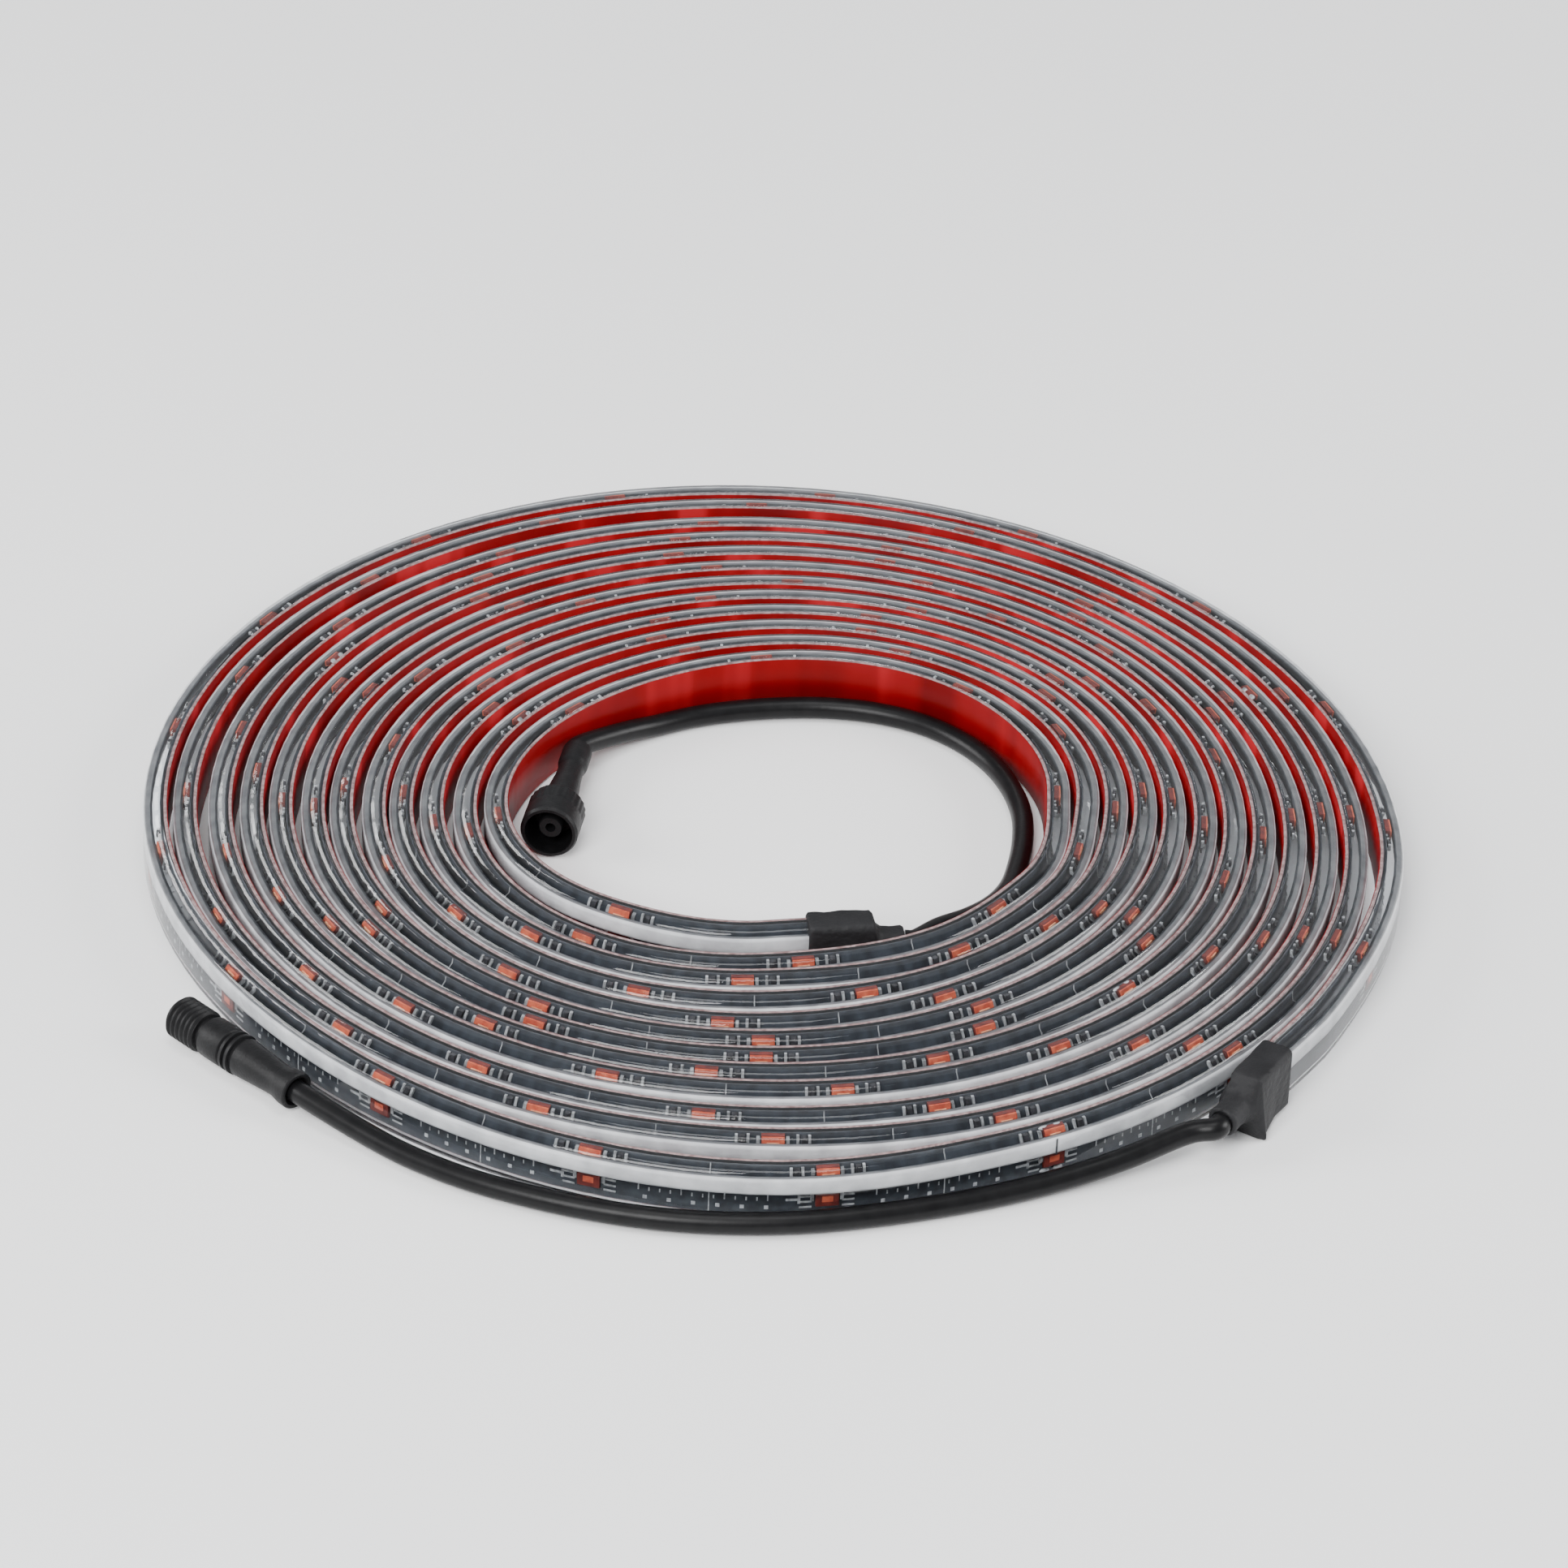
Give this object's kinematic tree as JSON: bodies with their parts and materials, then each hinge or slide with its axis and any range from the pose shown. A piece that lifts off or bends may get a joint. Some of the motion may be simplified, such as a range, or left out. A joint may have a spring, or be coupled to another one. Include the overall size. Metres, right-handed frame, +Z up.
{
  "type": "led strip light",
  "caption": "Coiled flexible LED strip light in a clear jacket with a milky diffuser, red-backed adhesive tape and a waterproof plug on a lead at each end.",
  "frame": {"origin": "on the floor under the middle of the coil", "axes": "+Z up along the coil's axis; -Y towards the side where both leads start and end"},
  "size_m": [0.1932, 0.1961, 0.0106],
  "materials": {
    "clear_jacket": "clear glossy",
    "milky_diffuser": "milky",
    "black_board": "satin",
    "red_liner": "satin",
    "shrink_cap": "matt",
    "black_cord": "satin",
    "plug_plastic": "fine matt",
    "pin_metal": "bright"
  },
  "bodies": {
    "strip": {"clear_jacket": "clear_jacket", "diffuser_rod": "milky_diffuser", "circuit_board": "black_board", "backing_tape": "red_liner", "outer_end_cap": "shrink_cap", "inner_end_cap": "shrink_cap", "outer_cord": "black_cord", "inner_cord": "black_cord", "outer_plug_body": "plug_plastic", "outer_plug_pin": "pin_metal", "inner_plug_body": "plug_plastic"},
    "nut": {"coupling_nut": "plug_plastic"}
  },
  "joints": [
    {"name": "nut_spin", "type": "hinge", "parent": "strip", "child": "nut", "pos_m": [-0.03357, 0.00168, 0.00455], "axis": [-0.1478, -0.989, 0], "continuous": true}
  ]
}
